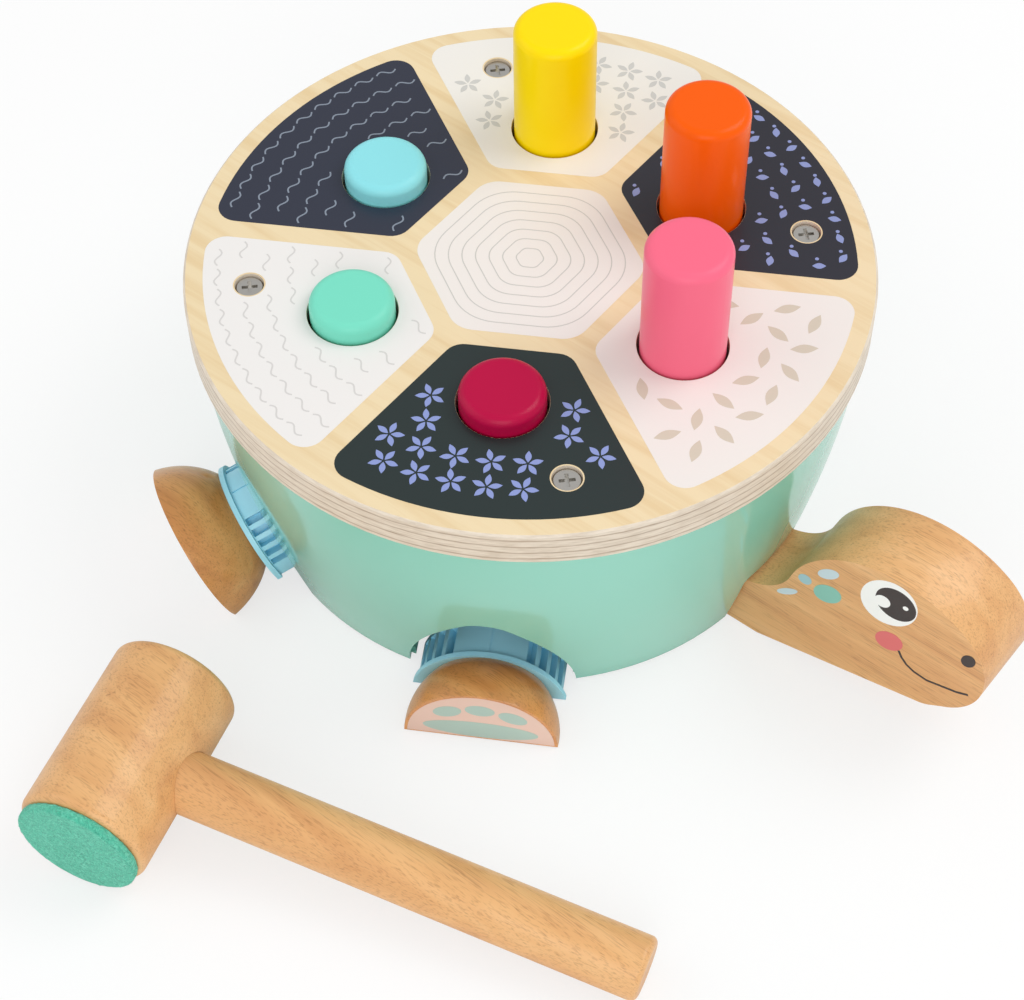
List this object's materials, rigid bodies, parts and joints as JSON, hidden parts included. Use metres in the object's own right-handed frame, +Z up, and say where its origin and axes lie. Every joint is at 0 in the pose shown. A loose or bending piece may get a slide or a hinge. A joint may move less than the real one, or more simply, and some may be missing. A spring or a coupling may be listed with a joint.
{
  "type": "peg pounding bench",
  "caption": "Turtle-shaped pounding bench: round peg deck on a bowl body, rockers under opposite pegs, slide bars that push head, tail and feet in and out, and a mallet beside it.",
  "frame": {"origin": "on the body's upright axis, at the floor under the base plate", "axes": "+X towards the turtle's head, +Y to its left side, +Z up"},
  "size_m": [0.2822, 0.3021, 0.132],
  "materials": {
    "plywood": "satin lacquer",
    "steel": "bright zinc",
    "shell_plastic": "gloss",
    "base_plastic": "satin",
    "inner_plastic": "satin",
    "hub_plastic": "satin",
    "foot_wood": "satin lacquer",
    "beech": "satin lacquer",
    "felt": "felt",
    "yellow_paint": "gloss lacquer",
    "orange_paint": "gloss lacquer",
    "pink_paint": "gloss lacquer",
    "raspberry_paint": "gloss lacquer",
    "mint_paint": "gloss lacquer",
    "aqua_paint": "gloss lacquer"
  },
  "bodies": {
    "body": {"deck": "plywood", "deck_screws": "steel", "shell": "shell_plastic", "base_plate": "base_plastic", "base_screws": "steel", "rocker_stand": "inner_plastic", "stand_screws": "steel", "guide_caps": "inner_plastic", "head_pivot_pin": "steel", "left_pivot_pin": "steel", "right_pivot_pin": "steel"},
    "head_rocker_body": {"head_rocker": "inner_plastic"},
    "left_rocker_body": {"left_rocker": "inner_plastic"},
    "right_rocker_body": {"right_rocker": "inner_plastic"},
    "head_bar_body": {"head_bar": "inner_plastic", "head_bar_screws": "steel", "head": "beech", "tail": "beech"},
    "left_bar_body": {"left_bar": "inner_plastic", "left_bar_screws": "steel", "rear_right_hub": "hub_plastic", "front_left_hub": "hub_plastic", "rear_right_foot": "foot_wood", "front_left_foot": "foot_wood", "left_foot_screws": "steel"},
    "right_bar_body": {"right_bar": "inner_plastic", "right_bar_screws": "steel", "front_right_hub": "hub_plastic", "rear_left_hub": "hub_plastic", "front_right_foot": "foot_wood", "rear_left_foot": "foot_wood", "right_foot_screws": "steel"},
    "mallet_body": {"mallet_head": "beech", "mallet_handle": "beech", "felt_pad": "felt"},
    "yellow_peg_body": {"yellow_peg": "yellow_paint"},
    "orange_peg_body": {"orange_peg": "orange_paint"},
    "pink_peg_body": {"pink_peg": "pink_paint"},
    "raspberry_peg_body": {"raspberry_peg": "raspberry_paint"},
    "mint_peg_body": {"mint_peg": "mint_paint"},
    "aqua_peg_body": {"aqua_peg": "aqua_paint"}
  },
  "joints": [
    {"name": "head_rocker_hinge", "type": "hinge", "parent": "body", "child": "head_rocker_body", "pos_m": [0, 0, 0.0331], "axis": [0, 1, 0], "range_deg": [0, 36.5]},
    {"name": "head_bar_slide", "type": "slide", "parent": "body", "child": "head_bar_body", "axis": [1, 0, 0], "range_m": [0, 0.012]},
    {"name": "aqua_peg_slide", "type": "slide", "parent": "body", "child": "aqua_peg_body", "axis": [0, 0, 1], "range_m": [0, 0.034]},
    {"name": "pink_peg_slide", "type": "slide", "parent": "body", "child": "pink_peg_body", "axis": [0, 0, -1], "range_m": [0, 0.034]},
    {"name": "left_rocker_hinge", "type": "hinge", "parent": "body", "child": "left_rocker_body", "pos_m": [0, 0, 0.0466], "axis": [-0.866, 0.5, 0], "range_deg": [0, 36.5]},
    {"name": "left_bar_slide", "type": "slide", "parent": "body", "child": "left_bar_body", "axis": [0.5, 0.866, 0], "range_m": [0, 0.012]},
    {"name": "mint_peg_slide", "type": "slide", "parent": "body", "child": "mint_peg_body", "axis": [0, 0, 1], "range_m": [0, 0.034]},
    {"name": "orange_peg_slide", "type": "slide", "parent": "body", "child": "orange_peg_body", "axis": [0, 0, -1], "range_m": [0, 0.034]},
    {"name": "right_rocker_hinge", "type": "hinge", "parent": "body", "child": "right_rocker_body", "pos_m": [0, 0, 0.05942], "axis": [-0.866, -0.5, 0], "range_deg": [0, 36.5]},
    {"name": "right_bar_slide", "type": "slide", "parent": "body", "child": "right_bar_body", "axis": [-0.5, 0.866, 0], "range_m": [0, 0.012]},
    {"name": "raspberry_peg_slide", "type": "slide", "parent": "body", "child": "raspberry_peg_body", "axis": [0, 0, 1], "range_m": [0, 0.034]},
    {"name": "yellow_peg_slide", "type": "slide", "parent": "body", "child": "yellow_peg_body", "axis": [0, 0, -1], "range_m": [0, 0.034]},
    {"name": "mallet_lift", "type": "slide", "parent": "body", "child": "mallet_body", "axis": [0, 0, 1], "range_m": [0, 0.12]}
  ],
  "couplings": [
    {"joint": "head_bar_slide", "follows": "head_rocker_hinge", "m_per_rad": 0.018825},
    {"joint": "aqua_peg_slide", "follows": "head_rocker_hinge", "m_per_rad": 0.053336},
    {"joint": "pink_peg_slide", "follows": "head_rocker_hinge", "m_per_rad": 0.053336},
    {"joint": "left_bar_slide", "follows": "left_rocker_hinge", "m_per_rad": 0.018825},
    {"joint": "mint_peg_slide", "follows": "left_rocker_hinge", "m_per_rad": 0.053336},
    {"joint": "orange_peg_slide", "follows": "left_rocker_hinge", "m_per_rad": 0.053336},
    {"joint": "right_bar_slide", "follows": "right_rocker_hinge", "m_per_rad": 0.018825},
    {"joint": "raspberry_peg_slide", "follows": "right_rocker_hinge", "m_per_rad": 0.053336},
    {"joint": "yellow_peg_slide", "follows": "right_rocker_hinge", "m_per_rad": 0.053336}
  ]
}
